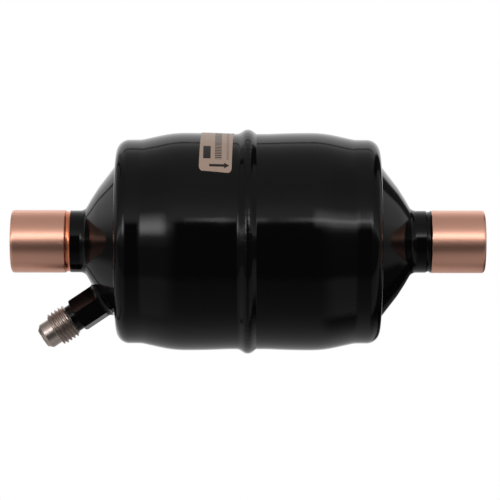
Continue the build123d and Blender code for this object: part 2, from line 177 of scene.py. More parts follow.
def lathe_end(tree, out, mesh, along, radius, angle, material):
    """Wrap the grid round the axis, close the seam and hand over a plain smooth mesh."""
    where = put(
        tree,
        "ShaderNodeCombineXYZ",
        {
            0: along,
            1: calc(tree, "MULTIPLY", radius, calc(tree, "COSINE", angle)),
            2: calc(tree, "MULTIPLY", radius, calc(tree, "SINE", angle)),
        },
    )
    wrapped = put(tree, "GeometryNodeSetPosition", {"Geometry": mesh, "Position": where.outputs[0]})
    seam = {"Geometry": wrapped.outputs[0], "Distance": SEAM_GAP}
    closed = put(tree, "GeometryNodeMergeByDistance", seam)
    real = put(tree, "GeometryNodeRealizeInstances", {"Geometry": closed.outputs[0]})
    smooth = put(tree, "GeometryNodeSetShadeSmooth", {"Geometry": real.outputs[0], "Shade Smooth": True})
    last = put(tree, "GeometryNodeSetMaterial", {"Geometry": smooth.outputs[0], "Material": material})
    tree.links.new(last.outputs[0], out.inputs[0])


# %% [markdown]
# The plain lathe rule takes the section's own radius all the way round. Three functions use a rule: one
# stores a section line as a mesh of points, one measures which way a closed mesh faces, and one runs the
# rule once and keeps the result as a plain mesh. Its faces are turned outwards when its signed volume
# comes out negative, and edges sharper than the given angle stay crisp.

# %% Plain lathe
plain_lathe, given, out = new_rule("lathe", LATHE_SOCKETS)
mesh, along, radius, angle = lathe_start(plain_lathe, given)
lathe_end(plain_lathe, out, mesh, along, radius, angle, given["Material"])
print("lathe rule:", len(plain_lathe.nodes), "nodes")


def line_object(name, line):
    """Points of a closed section line as a helper object."""
    closed = [*line, line[0]]
    mesh = bpy.data.meshes.new(name + "_section")
    mesh.from_pydata([(x * MM, 0, r * MM) for x, r in closed], [], [])
    helper = bpy.data.objects.new(name + "_section", mesh)
    bpy.context.scene.collection.objects.link(helper)
    return helper, len(closed)


def signed_volume(mesh):
    """The volume inside a closed mesh, negative where its faces point inwards."""
    mesh.calc_loop_triangles()
    points = [v.co for v in mesh.vertices]
    corners = ([points[i] for i in t.vertices] for t in mesh.loop_triangles)
    return sum(a.dot(b.cross(c)) for a, b, c in corners) / 6


def turn(name, line, material, slot, replaces, rule=plain_lathe, columns=192, crisp=40, at=None, **values):
    """Run a lathe rule on a section line; the piece rides on its solid's body and stands for it."""
    helper, rows = line_object(name, line)
    carrier = bpy.data.objects.new(name + "_carrier", bpy.data.meshes.new(name + "_carrier"))
    bpy.context.scene.collection.objects.link(carrier)
    modifier = carrier.modifiers.new("rule", "NODES")
    modifier.node_group = rule
    settings = {"Section": helper, "Rows": rows, "Columns": columns, "Material": material, **values}
    for item in rule.interface.items_tree:
        if item.in_out == "INPUT" and item.name in settings:
            modifier[item.identifier] = settings[item.name]
    graph = bpy.context.evaluated_depsgraph_get()
    made = bpy.data.meshes.new_from_object(carrier.evaluated_get(graph), depsgraph=graph)
    made.name = name
    if at is not None:
        made.transform(at)
    if signed_volume(made) < 0:
        made.flip_normals()
    made.set_sharp_from_angle(angle=math.radians(crisp))
    for scrap in (carrier, helper):
        bpy.data.objects.remove(scrap)
    piece = bpy.data.objects.new(name, made)
    bpy.context.scene.collection.objects.link(piece)
    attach(piece, "drier")
    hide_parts(replaces)
    print(name, len(made.polygons), "faces")
    return piece


# %% [markdown]
# Gloss black stove enamel covers the steel, weld, outlet braze and the valve's hex. The coat is a few
# hundredths of a millimetre thick: it lies over the metal with a faint orange peel, which is a fine noise
# bump, and with some dust and handling film, which is a slow noise in the roughness. Its specular level
# is set low, because the tent that it mirrors here is brighter than a room.

# %% Materials: helpers and enamel
def material(name, colour, metallic, roughness, **more):
    """A Principled material with constants on the shader's own sockets."""
    made = bpy.data.materials.new(name)
    made.use_nodes = True
    shader = made.node_tree.nodes["Principled BSDF"]
    shader.inputs["Base Color"].default_value = (*colour, 1)
    shader.inputs["Metallic"].default_value = metallic
    shader.inputs["Roughness"].default_value = roughness
    for socket, value in more.items():
        shader.inputs[socket.replace("_", " ")].default_value = value
    made.diffuse_color = (*colour, 1)
    return made, made.node_tree, shader


def noise(tree, scale, detail=2.0, stretch=(1, 1, 1)):
    """Noise on the object's own coordinates, with scale in cells a metre."""
    where = put(tree, "ShaderNodeTexCoord").outputs["Object"]
    laid = put(tree, "ShaderNodeMapping", {"Vector": where, "Scale": stretch})
    cells = {"Vector": laid.outputs[0], "Scale": scale, "Detail": detail}
    return put(tree, "ShaderNodeTexNoise", cells).outputs["Fac"]


def spread(tree, value, low, high):
    """A 0 to 1 value taken to another range."""
    return put(tree, "ShaderNodeMapRange", {0: value, 3: low, 4: high}).outputs[0]


def bump(tree, shader, height, distance, strength=1.0):
    """Relief of a distance in metres on a shader's normal."""
    made = put(tree, "ShaderNodeBump", {"Height": height, "Distance": distance, "Strength": strength})
    tree.links.new(made.outputs[0], shader.inputs["Normal"])


ENAMEL = (0.0015, 0.0015, 0.0017)
ENAMEL_ROUGHNESS = 0.12
ENAMEL_SPECULAR = 0.16
METAL_SPECULAR = 0.5
black_enamel, tree, shader = material("black_enamel", ENAMEL, 0.0, 0.1, Specular_IOR_Level=ENAMEL_SPECULAR)
tree.links.new(spread(tree, noise(tree, 60, 4), 0.06, 0.13), shader.inputs["Roughness"])
bump(tree, shader, noise(tree, 450, 2), 0.01 * MM)
print("enamel:", len(tree.nodes), "nodes")

# %% [markdown]
# The outlet's copper and the valve's steel run on under the paint: the coat ends part of the way along
# them. A second object for the paint would need an edge of its own, so one function mixes enamel and
# metal by a distance instead, with a noise that lets the paint line wander a little.

# %% Materials: a paint line
PAINT_WANDER, PAINT_EDGE = 0.25 * MM, 0.06 * MM


def mix_colour(tree, share, first, second):
    """A colour between two, each a colour or a socket."""
    made = put(tree, "ShaderNodeMix", {"Factor": share}, data_type="RGBA")
    for socket, value in ((made.inputs[6], first), (made.inputs[7], second)):
        if isinstance(value, bpy.types.NodeSocket):
            tree.links.new(value, socket)
        else:
            socket.default_value = (*value, 1)
    return made.outputs[2]


def blend_in(tree, share, first, second):
    """A number between two; share 0 gives the first."""
    return put(tree, "ShaderNodeMix", {"Factor": share, 2: first, 3: second}).outputs[0]


def painted_up_to(tree, shader, distance, edge, colour, roughness):
    """Enamel where the distance is below the edge, bare metal beyond."""
    wander = spread(tree, noise(tree, 220, 2), -PAINT_WANDER, PAINT_WANDER)
    past = calc(tree, "SUBTRACT", calc(tree, "ADD", distance, wander), edge)
    bare = put(tree, "ShaderNodeMapRange", {0: past, 1: -PAINT_EDGE, 2: PAINT_EDGE}).outputs[0]
    bare_metal = shader.inputs["Metallic"].default_value
    tree.links.new(mix_colour(tree, bare, ENAMEL, colour), shader.inputs["Base Color"])
    tree.links.new(blend_in(tree, bare, 0.0, bare_metal), shader.inputs["Metallic"])
    tree.links.new(blend_in(tree, bare, ENAMEL_ROUGHNESS, roughness), shader.inputs["Roughness"])
    specular = blend_in(tree, bare, ENAMEL_SPECULAR, METAL_SPECULAR)
    tree.links.new(specular, shader.inputs["Specular IOR Level"])


# %% [markdown]
# Copper end sockets are turned and then brushed round, so fine lines run round the axis and the
# highlight is drawn out along it, which the anisotropy does. The lines are noise that changes fast along
# X and hardly at all round the socket, and the tone shifts slowly where the metal has tarnished.
# Braze metal is bright and lumpy, and the valve's plated steel is a dull warm grey.

# %% Materials: bare metals
COPPER, COPPER_PALE, COPPER_DARK = (0.8, 0.42, 0.31), (0.83, 0.45, 0.34), (0.76, 0.4, 0.29)
BRAZE, VALVE_STEEL = (0.7, 0.23, 0.12), (0.34, 0.28, 0.24)
ACROSS_LINES, ALONG_LINES = 80, 0.4
PAINTED_TO_X = 57.8 * MM


def brushed_copper(name, painted_to=None):
    """Brushed copper, enamelled up to a place along the flow axis if one is given."""
    brushed = {"Anisotropic": 0.8, "Anisotropic_Rotation": 0.25}
    made, tree, shader = material(name, COPPER, 1.0, 0.42, **brushed)
    tangent = put(tree, "ShaderNodeTangent", direction_type="RADIAL", axis="X")
    tree.links.new(tangent.outputs[0], shader.inputs["Tangent"])
    rings = noise(tree, 30, 2, (ACROSS_LINES, ALONG_LINES, ALONG_LINES))
    tone = mix_colour(tree, noise(tree, 60, 3), COPPER_PALE, COPPER_DARK)
    rough = spread(tree, rings, 0.38, 0.46)
    if painted_to is None:
        tree.links.new(tone, shader.inputs["Base Color"])
        tree.links.new(rough, shader.inputs["Roughness"])
    else:
        where = put(tree, "ShaderNodeTexCoord").outputs["Object"]
        along = put(tree, "ShaderNodeSeparateXYZ", {0: where}).outputs[0]
        painted_up_to(tree, shader, along, painted_to, tone, rough)
    bump(tree, shader, rings, 0.004 * MM, 0.3)
    return made


copper = brushed_copper("copper")
painted_copper = brushed_copper("copper_painted_root", PAINTED_TO_X)

braze_metal, tree, shader = material("braze_metal", BRAZE, 1.0, 0.25)
tree.links.new(spread(tree, noise(tree, 300, 4), 0.15, 0.38), shader.inputs["Roughness"])
bump(tree, shader, noise(tree, 500, 3), 0.04 * MM)

valve_steel, tree, shader = material("valve_steel", VALVE_STEEL, 1.0, 0.3)
tree.links.new(spread(tree, noise(tree, 400, 4), 0.22, 0.42), shader.inputs["Roughness"])
bump(tree, shader, noise(tree, 900, 2), 0.01 * MM)
print("bare metals:", copper.name, painted_copper.name, braze_metal.name, valve_steel.name)

# %% [markdown]
# The other finishes are for what is inside: the valve core, the pressed plates and spring, the moulded
# desiccant and its felt and rubber. They are out of sight here, so each is one plain colour with a grain
# in its roughness, made by a loop from colour, metallic and roughness.

# %% Materials: inner pieces
INNER = {
    "core_brass": ((0.6, 0.45, 0.2), 1.0, 0.3),
    "seal_rubber": ((0.02, 0.02, 0.02), 0.0, 0.6),
    "spring_steel": ((0.45, 0.45, 0.46), 1.0, 0.3),
    "pressed_steel": ((0.5, 0.5, 0.51), 1.0, 0.4),
    "screen_steel": ((0.5, 0.5, 0.5), 1.0, 0.5),
    "desiccant": ((0.7, 0.62, 0.5), 0.0, 0.9),
    "felt": ((0.75, 0.74, 0.7), 0.0, 0.95),
}
GRAIN = 0.2
finishes = {
    "black_enamel": black_enamel,
    "copper": copper,
    "braze_metal": braze_metal,
    "valve_steel": valve_steel,
}
for slot_name, (colour, metallic, roughness) in INNER.items():
    made, tree, shader = material(slot_name, colour, metallic, roughness)
    smoothest, roughest = roughness * (1 - GRAIN), min(roughness * (1 + GRAIN), 1)
    tree.links.new(spread(tree, noise(tree, 500, 4), smoothest, roughest), shader.inputs["Roughness"])
    finishes[slot_name] = made
print("finishes:", len(finishes))

# %% [markdown]
# The two halves are deep drawn from 1.5 mm sheet: a barrel that swells a little, a soft step down to a
# short end band, a rounded corner, a flat end ring, a domed cone and a narrow neck. The section is the
# outer line and its parallel 1.5 mm inside, which keeps the sheet even where a scaled copy would not.
# The inlet half is the same line mirrored, but only the outlet half is joggled, to slip under its rim.

# %% Shell halves
WALL = 1.5
BARREL_R, CROWN_R, END_R = 34.05, 34.4, 32.2
END_X, CONE_R, CONE_X, NECK_R, NECK_X = 41.5, 24.5, 51.6, 9.8, 56.0
CONE_DOME, CONE_EDGE, NECK_FILLET = 80.0, 0.4, 2.5
LAP_X, LAP_R, LAP_END_X = 1.1, 32.5, -6.5
# corners of the drawn section: along, radius and fillet
SWELL_START = (6.112, BARREL_R, 60.0)
SWELL_END = (14.463, CROWN_R, 240.0)
STEP_START = (23.643, CROWN_R, 36.0)
STEP_END = (33.566, END_R, 9.0)
END_CORNER = (END_X, END_R, 4.1)
JOGGLE_LOW = (-0.461, LAP_R, 1.0)
JOGGLE_HIGH = (1.089, BARREL_R, 2.2)
CONE_CUT_R = NECK_R + 1.4
SHARPEST_MITRE = 0.3


def inside(line, gap):
    """The parallel line on the axis side, corner by corner."""
    made = []
    for i, here in enumerate(line):
        here = Vector(here)
        before = Vector(line[max(i - 1, 0)])
        after = Vector(line[min(i + 1, len(line) - 1)])
        way_in = (here - before).normalized() if i else (after - here).normalized()
        way_on = (after - here).normalized() if i < len(line) - 1 else way_in
        across = Vector((way_in.y + way_on.y, -way_in.x - way_on.x)).normalized()
        mitre = max(across.dot(Vector((way_in.y, -way_in.x))), SHARPEST_MITRE)
        made.append(tuple(here + across * gap / mitre))
    return made


cone = arc((END_X, CONE_R), (CONE_X, NECK_R), CONE_DOME, 1)
cone_face = [p for p in cone if p[1] > CONE_CUT_R]
# the first and last corners only give the way in and out, so they are dropped
drawn = section(
    (4.5, BARREL_R), SWELL_START, SWELL_END, STEP_START, STEP_END, END_CORNER, (END_X, CONE_R + 0.5)
)[1:-1]
drawn += rounded((END_X, CONE_R + 3), (END_X, CONE_R), cone[2], CONE_EDGE)
drawn += cone_face[2:]
drawn += rounded(cone_face[-1], (CONE_X, NECK_R), (NECK_X, NECK_R), NECK_FILLET)
drawn.append((NECK_X, NECK_R))
joggle = section((-LAP_X, LAP_R), JOGGLE_LOW, JOGGLE_HIGH, (2 * LAP_X, BARREL_R))

inlet_line = [(LAP_X, BARREL_R), *drawn]
outlet_line = [(LAP_END_X, LAP_R), *joggle, *drawn]
inlet_wall = [(-x, r) for x, r in inlet_line + inside(inlet_line, WALL)[::-1]]
outlet_wall = outlet_line + inside(outlet_line, WALL)[::-1]
for name, wall_line in (("inlet_shell", inlet_wall), ("outlet_shell", outlet_wall)):
    turn(name + "_drawn", wall_line, black_enamel, "black_enamel", name, columns=256, crisp=35)

# %% [markdown]
# The girth weld is one pass of arc weld laid round the seam and painted over: crowned, with a soft toe
# towards the inlet and a sharp one towards the outlet. Its rule starts as the lathe does and then presses
# the puddle's ripples into the crown, arcs that repeat round the seam and are never proud of the bead.
# A bump in the enamel wouldn't show in the exported mesh, so the ripples are geometry.

# %% Weld rule
# the bead has no ripples lower than this above the barrel
RIPPLE_FLOOR = 0.2 * MM
# how many ripples a ripple lags for each square metre from the bead's middle, which bows it
RIPPLE_BOW = 90000.0
# above 1, a ripple ends more sharply than it starts
RIPPLE_EDGE = 1.6
UNEVEN_ALONG, UNEVEN_SCALE = 200.0, 9.0
weld_rule, given, out = new_rule(
    "rippled lathe",
    [
        *LATHE_SOCKETS,
        ("Ripples", "NodeSocketInt"),
        ("Ripple Depth", "NodeSocketFloat"),
        ("Seam Radius", "NodeSocketFloat"),
        ("Crown Height", "NodeSocketFloat"),
    ],
)
mesh, along, radius, angle = lathe_start(weld_rule, given)
height = calc(weld_rule, "SUBTRACT", radius, given["Seam Radius"])
crown_range = {0: height, 1: RIPPLE_FLOOR, 2: given["Crown Height"]}
crown = put(weld_rule, "ShaderNodeMapRange", crown_range).outputs[0]
turns = times(weld_rule, calc(weld_rule, "DIVIDE", angle, math.tau), given["Ripples"])
bowed = times(weld_rule, along, along, RIPPLE_BOW)
beat = calc(weld_rule, "FRACT", calc(weld_rule, "ADD", turns, bowed))
step = calc(weld_rule, "POWER", beat, RIPPLE_EDGE)
round_seam = {
    0: calc(weld_rule, "COSINE", angle),
    1: calc(weld_rule, "SINE", angle),
    2: times(weld_rule, along, UNEVEN_ALONG),
}
seam_place = put(weld_rule, "ShaderNodeCombineXYZ", round_seam).outputs[0]
cells = {"Vector": seam_place, "Scale": UNEVEN_SCALE, "Detail": 2.0}
uneven = put(weld_rule, "ShaderNodeTexNoise", cells).outputs[0]
press = times(weld_rule, step, uneven, given["Ripple Depth"], crown)
pressed = calc(weld_rule, "SUBTRACT", radius, press)
lathe_end(weld_rule, out, mesh, along, pressed, angle, given["Material"])
print("weld rule:", len(weld_rule.nodes), "nodes")

# %% [markdown]
# The bead's section is its crown from toe to toe, and below the rims its root follows the solid's, down
# into the groove that the joggle leaves. Ten columns of the grid stand for each ripple.

# %% Girth weld
CREST_R = 35.45
CROWN_HEIGHT = 1.2
SOFT_TOE_X, SHARP_TOE_X = -3.74, 2.69
RIPPLES, COLUMNS_A_RIPPLE, RIPPLE_DEPTH = 84, 10, 0.04
bead = section(
    (SOFT_TOE_X, BARREL_R),
    (-3.0, BARREL_R, 2.5),
    (-0.841, CREST_R, 2.5),
    (0.795, CREST_R, 2.6),
    (2.587, BARREL_R, 0.3),
    (SHARP_TOE_X, BARREL_R),
)
bead_root = [*joggle[:-1][::-1], (-LAP_X, BARREL_R)]
turn(
    "girth_weld_bead",
    bead + bead_root,
    black_enamel,
    "black_enamel",
    "girth_weld",
    rule=weld_rule,
    columns=RIPPLES * COLUMNS_A_RIPPLE,
    crisp=60,
    **{
        "Ripples": RIPPLES,
        "Ripple Depth": RIPPLE_DEPTH * MM,
        "Seam Radius": BARREL_R * MM,
        "Crown Height": CROWN_HEIGHT * MM,
    },
)

# %% [markdown]
# Each solder connector is a copper sleeve turned from tube, with a shouldered spigot brazed into the
# shell's neck. The mouth is rounded outside and chamfered inside to lead the pipe in. The outlet's
# root was dipped in the enamel with the shell, so its paint ends just past the braze ring.

# %% Solder connectors
SPIGOT_X, SHOULDER_X, STOP_X, FACE_X = 48.5, 57.5, 62.0, 74.7
PASSAGE_R, SOCKET_BORE_R, SPIGOT_R, SLEEVE_R = 6.9, 8.0, 8.25, 9.9
LEAD_IN = 0.55
sleeve = section(
    (SPIGOT_X, PASSAGE_R),
    (SPIGOT_X, SPIGOT_R),
    (SHOULDER_X, SPIGOT_R),
    (SHOULDER_X, SLEEVE_R, 0.45),
    (FACE_X, SLEEVE_R, 1.0),
    (FACE_X, SOCKET_BORE_R + LEAD_IN),
    (FACE_X - LEAD_IN, SOCKET_BORE_R),
    (STOP_X, SOCKET_BORE_R),
    (STOP_X, PASSAGE_R),
)
for end, side, finish in (("outlet", 1, painted_copper), ("inlet", -1, copper)):
    line = [(side * x, r) for x, r in sleeve]
    turn(end + "_connector_sleeve", line, finish, "copper", end + "_connector", columns=160, crisp=30)

# %% [markdown]
# A ring of silver-bearing braze shows between neck and sleeve. It is drawn into the gap, so its face is
# a hollow waist, slightly lumpy where the torch went round. At the inlet it is bare and bright orange,
# at the outlet it is under the enamel.

# %% Braze rings
WAIST = 1.0
waist = arc((NECK_X, NECK_R), (SHOULDER_X, NECK_R), WAIST, -1)
ring = [*waist, (SHOULDER_X, SPIGOT_R), (NECK_X, SPIGOT_R)]
for end, side, finish in (("outlet", 1, black_enamel), ("inlet", -1, braze_metal)):
    line = [(side * x, r) for x, r in ring]
    turn(end + "_braze_fillet", line, finish, "braze_metal", end + "_braze_ring", columns=160)

# %% [markdown]
# The access valve is a plated steel body turned from hexagon bar: hex, undercut, 7/16-20 thread, pilot
# and 45 degree flare. It stands on the inlet cone, square to its face, so it is turned about an axis of
# its own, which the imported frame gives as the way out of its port.

# %% Access valve's place
FOOT = Vector((-46.286, 0, -18.4)) * MM
port = next(mount for mount in frame["record"]["mounts"] if mount["name"] == "access_port")
VALVE_OUT = Vector(port["axis"]).normalized()
VALVE_ACROSS = Vector((0, 1, 0))
VALVE_UP = VALVE_OUT.cross(VALVE_ACROSS)
valve_frame = Matrix((VALVE_OUT, VALVE_ACROSS, VALVE_UP)).transposed().to_4x4()
valve_place = Matrix.Translation(FOOT) @ valve_frame
print("valve points along", [round(part, 3) for part in VALVE_OUT])

# %% [markdown]
# The valve's rule starts as the lathe does and takes the smaller of two radii: the section's own, and
# the hexagon's across its flats or, further out, a 60 degree thread that advances one pitch a turn. So
# chamfers and thread ends come out as on a lathe, where the tool cuts into the hexagon and the crests.

# %% Hexagon and thread rule
valve_rule, given, out = new_rule(
    "hexagon and thread lathe",
    [
        *LATHE_SOCKETS,
        ("Flats", "NodeSocketFloat"),
        ("First Corner", "NodeSocketFloat"),
        ("Hex Length", "NodeSocketFloat"),
        ("Pitch", "NodeSocketFloat"),
        ("Major Radius", "NodeSocketFloat"),
        ("Thread Depth", "NodeSocketFloat"),
    ],
)
SIXTH = math.tau / 6
FLANK_SLOPE = 1 / math.tan(math.radians(30))
# the crest is an eighth of the pitch wide, half of it on either side
CREST_SHARE = 16
mesh, along, radius, angle = lathe_start(valve_rule, given)
in_flat = calc(valve_rule, "SUBTRACT", calc(valve_rule, "FLOORED_MODULO", angle, SIXTH), SIXTH / 2)
half_flats = calc(valve_rule, "DIVIDE", given["Flats"], 2)
flat = calc(valve_rule, "DIVIDE", half_flats, calc(valve_rule, "COSINE", in_flat))
turned_by = calc(valve_rule, "ADD", angle, given["First Corner"])
advance = times(valve_rule, calc(valve_rule, "DIVIDE", turned_by, math.tau), given["Pitch"])
phase = calc(valve_rule, "FLOORED_MODULO", calc(valve_rule, "SUBTRACT", along, advance), given["Pitch"])
half_pitch = calc(valve_rule, "DIVIDE", given["Pitch"], 2)
from_crest = calc(valve_rule, "ABSOLUTE", calc(valve_rule, "SUBTRACT", phase, half_pitch))
half_crest = calc(valve_rule, "DIVIDE", given["Pitch"], CREST_SHARE)
flank = times(valve_rule, calc(valve_rule, "SUBTRACT", from_crest, half_crest), FLANK_SLOPE)
groove = calc(valve_rule, "MINIMUM", calc(valve_rule, "MAXIMUM", flank, 0.0), given["Thread Depth"])
thread = calc(valve_rule, "SUBTRACT", given["Major Radius"], groove)
on_thread = calc(valve_rule, "GREATER_THAN", along, given["Hex Length"])
cut = calc(valve_rule, "MINIMUM", radius, blend_in(valve_rule, on_thread, flat, thread))
lathe_end(valve_rule, out, mesh, along, cut, turned_by, given["Material"])
print("valve rule:", len(valve_rule.nodes), "nodes")

# %% [markdown]
# The body's section runs from the foot to the flare and back through the bore. The rule bends it between
# its points, so the hexagon's chamfer and the thread have many close points, evenly spaced.

# %% Valve section
HEX_FLATS, HEX_CORNER_R, HEX_LENGTH = 10.0, 5.774, 9.4
THREAD_R, THREAD_PITCH, THREAD_DEPTH, THREAD_CHAMFER = 5.556, 1.27, 0.779, 0.5
THREAD_START, THREAD_END, TIP = 11.45, 17.55, 22.15
UNDERCUT_R, PILOT_R, FLARE_END_R = 4.465, 4.225, 3.125
FOOT_SPIGOT_R, FOOT_SPIGOT_END = 4.0, -4.0
BORE_R, CORE_SEAT_R, MOUTH_R = 1.5, 2.05, 2.6
HEX_CHAMFER, PAST_HEX = 0.447, 0.05
FLARE_LENGTH, LIP_LENGTH = 1.3, 0.2
MOUTH_DEPTH, SEAT_DEPTH, BORE_DEPTH = 6.0, 7.2, 14.0
CHAMFER_POINTS, HEX_POINTS, THREAD_POINTS = 12, 14, 160


def stretch(start, end, count):
    """Evenly spaced points from one corner to the next, without the last."""
    return [
        (start[0] + (end[0] - start[0]) * i / count, start[1] + (end[1] - start[1]) * i / count)
        for i in range(count)
    ]


hex_edge = (HEX_LENGTH - HEX_CHAMFER, HEX_CORNER_R)
hex_top = (HEX_LENGTH, HEX_FLATS / 2)
chamfer_foot_r = THREAD_R - THREAD_CHAMFER
thread_in = (THREAD_START + THREAD_CHAMFER, THREAD_R)
thread_out = (THREAD_END - THREAD_CHAMFER, THREAD_R)
undercut = section(
    hex_top,
    (HEX_LENGTH, UNDERCUT_R, 0.25),
    (THREAD_START, UNDERCUT_R, 0.2),
    (THREAD_START, HEX_FLATS / 2),
)
pilot = section(
    (THREAD_END, chamfer_foot_r),
    (THREAD_END, PILOT_R, 0.15),
    (TIP - FLARE_LENGTH, PILOT_R, 0.12),
    (TIP - LIP_LENGTH, FLARE_END_R, 0.1),
    (TIP, FLARE_END_R),
)
mouth = section(
    (TIP - LIP_LENGTH, FLARE_END_R),
    (TIP, FLARE_END_R, 0.08),
    (TIP, MOUTH_R, 0.1),
    (TIP - MOUTH_DEPTH, MOUTH_R),
)
body = [
    (FOOT_SPIGOT_END, BORE_R),
    (FOOT_SPIGOT_END, FOOT_SPIGOT_R),
    (0.0, FOOT_SPIGOT_R),
    (0.0, HEX_CORNER_R),
    *stretch(hex_edge, hex_top, HEX_POINTS),
    hex_top,
    *undercut[1:-1],
    *stretch((THREAD_START, chamfer_foot_r), thread_in, CHAMFER_POINTS),
    *stretch(thread_in, thread_out, THREAD_POINTS),
    *stretch(thread_out, (THREAD_END, chamfer_foot_r), CHAMFER_POINTS),
    (THREAD_END, chamfer_foot_r),
    *pilot[1:-1],
    *mouth[1:-1],
    (TIP - MOUTH_DEPTH, MOUTH_R),
    (TIP - SEAT_DEPTH, CORE_SEAT_R),
    (TIP - BORE_DEPTH, CORE_SEAT_R),
    (TIP - BORE_DEPTH, BORE_R),
]
print("valve section:", len(body), "points")

# %% [markdown]
# The hexagon's corners fall on columns of the grid, so its edges stay straight. They stand where the
# solid's do: the rule is turned to the corner that is furthest from the valve's axis. The enamel runs up
# the hex to the undercut, and beyond it the plating shows.

# %% Access valve body
HEX_FROM, HEX_TO = -0.1 * MM, 9.1 * MM
solid_points = [v.co - FOOT for v in nodes["access_valve_body"].data.vertices]
hex_points = [p for p in solid_points if HEX_FROM < VALVE_OUT.dot(p) < HEX_TO]
hex_corner = max((VALVE_ACROSS.dot(p) ** 2 + VALVE_UP.dot(p) ** 2, p) for p in hex_points)[1]
first_corner = math.atan2(VALVE_UP.dot(hex_corner), VALVE_ACROSS.dot(hex_corner))
print("first corner at", round(math.degrees(first_corner), 2), "degrees")

PAINTED_ALONG_VALVE = 11.3 * MM
PLATING, PLATING_PALE, PLATING_DARK = (0.5, 0.43, 0.39), (0.52, 0.45, 0.42), (0.36, 0.29, 0.25)
plated, tree, shader = material("valve_painted_hex", PLATING, 1.0, 0.3)
where = put(tree, "ShaderNodeTexCoord").outputs["Object"]
from_foot = put(tree, "ShaderNodeVectorMath", {0: where, 1: tuple(FOOT)}, operation="SUBTRACT").outputs[0]
reach = {0: from_foot, 1: tuple(VALVE_OUT)}
along_valve = put(tree, "ShaderNodeVectorMath", reach, operation="DOT_PRODUCT").outputs["Value"]
tone = mix_colour(tree, noise(tree, 250, 3), PLATING_PALE, PLATING_DARK)
rough = spread(tree, noise(tree, 400, 4), 0.22, 0.42)
painted_up_to(tree, shader, along_valve, PAINTED_ALONG_VALVE, tone, rough)
bump(tree, shader, noise(tree, 900, 2), 0.01 * MM)

turn(
    "access_valve_threaded_body",
    body,
    plated,
    "valve_steel",
    "access_valve_body",
    rule=valve_rule,
    columns=144,
    crisp=28,
    at=valve_place,
    **{
        "Flats": HEX_FLATS * MM,
        "First Corner": first_corner,
        "Hex Length": (HEX_LENGTH + PAST_HEX) * MM,
        "Pitch": THREAD_PITCH * MM,
        "Major Radius": THREAD_R * MM,
        "Thread Depth": THREAD_DEPTH * MM,
    },
)

# %% [markdown]
# The valve's foot is brazed to the cone and enamelled over. The fillet is drawn up the hexagon's flats and
# runs out on the cone, so its face is hollow; it is turned about the valve's own axis.

# %% Foot braze
FILLET_ROOT_R, FILLET_FACE = 4.6, 2.4
FILLET_FOOT, FILLET_TOP = (-0.75, 6.9), (1.0, 5.45)
hollow = arc(FILLET_FOOT, FILLET_TOP, FILLET_FACE, -1)
foot = [(FILLET_FOOT[0], FILLET_ROOT_R), *hollow, (FILLET_TOP[0], FILLET_ROOT_R)]
turn(
    "access_valve_foot_fillet",
    foot,
    black_enamel,
    "braze_metal",
    "access_valve_braze",
    columns=160,
    at=valve_place,
)

# %% [markdown]
# The solids that stay as they are get their finishes by the record's slots. Their shapes are plain enough
# to need nothing over them.

# %% Finishes of the remaining solids
slots = {part["node"]: part["material_slot"] for part in frame["record"]["subparts"]}
for name, solid in nodes.items():
    solid.data.materials.clear()
    solid.data.materials.append(finishes.get(slots[name], black_enamel))
print("slots:", len(set(slots.values())))

# %% [markdown]
# The label is a satin foil wrapped over the top of the inlet half. Its print is generic: an arrow for the
# flow direction, a dark field and rows of plain bars where other labels have words. It is drawn by
# arithmetic on two lengths, along the axis and round the barrel from the top, so it needs no picture
# and stays sharp at any distance.

# %% Label: lengths and bands
LABEL_FOIL, FOIL_PALE, FOIL_DARK = (0.36, 0.26, 0.2), (0.38, 0.275, 0.215), (0.33, 0.24, 0.19)
LABEL_INK = (0.008, 0.006, 0.006)
FOIL_METALLIC = 0.2
PRINT_SOFTNESS = 0.03
label_foil, tree, shader = material("label_foil", LABEL_FOIL, FOIL_METALLIC, 0.45, Specular_IOR_Level=0.3)
where = put(tree, "ShaderNodeTexCoord").outputs["Object"]
place = put(tree, "ShaderNodeSeparateXYZ", {0: where}).outputs
round_angle = calc(tree, "ARCTAN2", calc(tree, "MULTIPLY", place[1], -1.0), place[2])
across = calc(tree, "MULTIPLY", round_angle, CROWN_R)
along_axis = calc(tree, "MULTIPLY", place[0], 1 / MM)


def band(tree, value, low, high):
    """1 between two lengths, 0 outside."""
    soft = PRINT_SOFTNESS
    up = put(tree, "ShaderNodeMapRange", {0: value, 1: low - soft, 2: low + soft}).outputs[0]
    falling = {0: value, 1: high - soft, 2: high + soft, 3: 1.0, 4: 0.0}
    return times(tree, up, put(tree, "ShaderNodeMapRange", falling).outputs[0])


def patch(x_low, x_high, y_low, y_high):
    """A filled field of the label."""
    return times(tree, band(tree, along_axis, x_low, x_high), band(tree, across, y_low, y_high))


def bars(x_low, x_high, y_low, y_high, pitch, share):
    """Short bars across a column, one each pitch."""
    beat = calc(tree, "FRACT", calc(tree, "DIVIDE", across, pitch))
    return times(tree, patch(x_low, x_high, y_low, y_high), calc(tree, "LESS_THAN", beat, share))


# %% [markdown]
# The marks are ink where the largest of them is 1: the arrow's shaft and head, the dark field, a column
# of bars like lines of words, and a column of finer, fainter ones.

# %% Label: print
ARROW_ACROSS, SHAFT_HALF, HEAD_SLOPE = 28.25, 0.55, 0.8
SHAFT_START, SHAFT_END, HEAD_START, ARROW_TIP = -12.0, -7.2, -7.4, -5.8
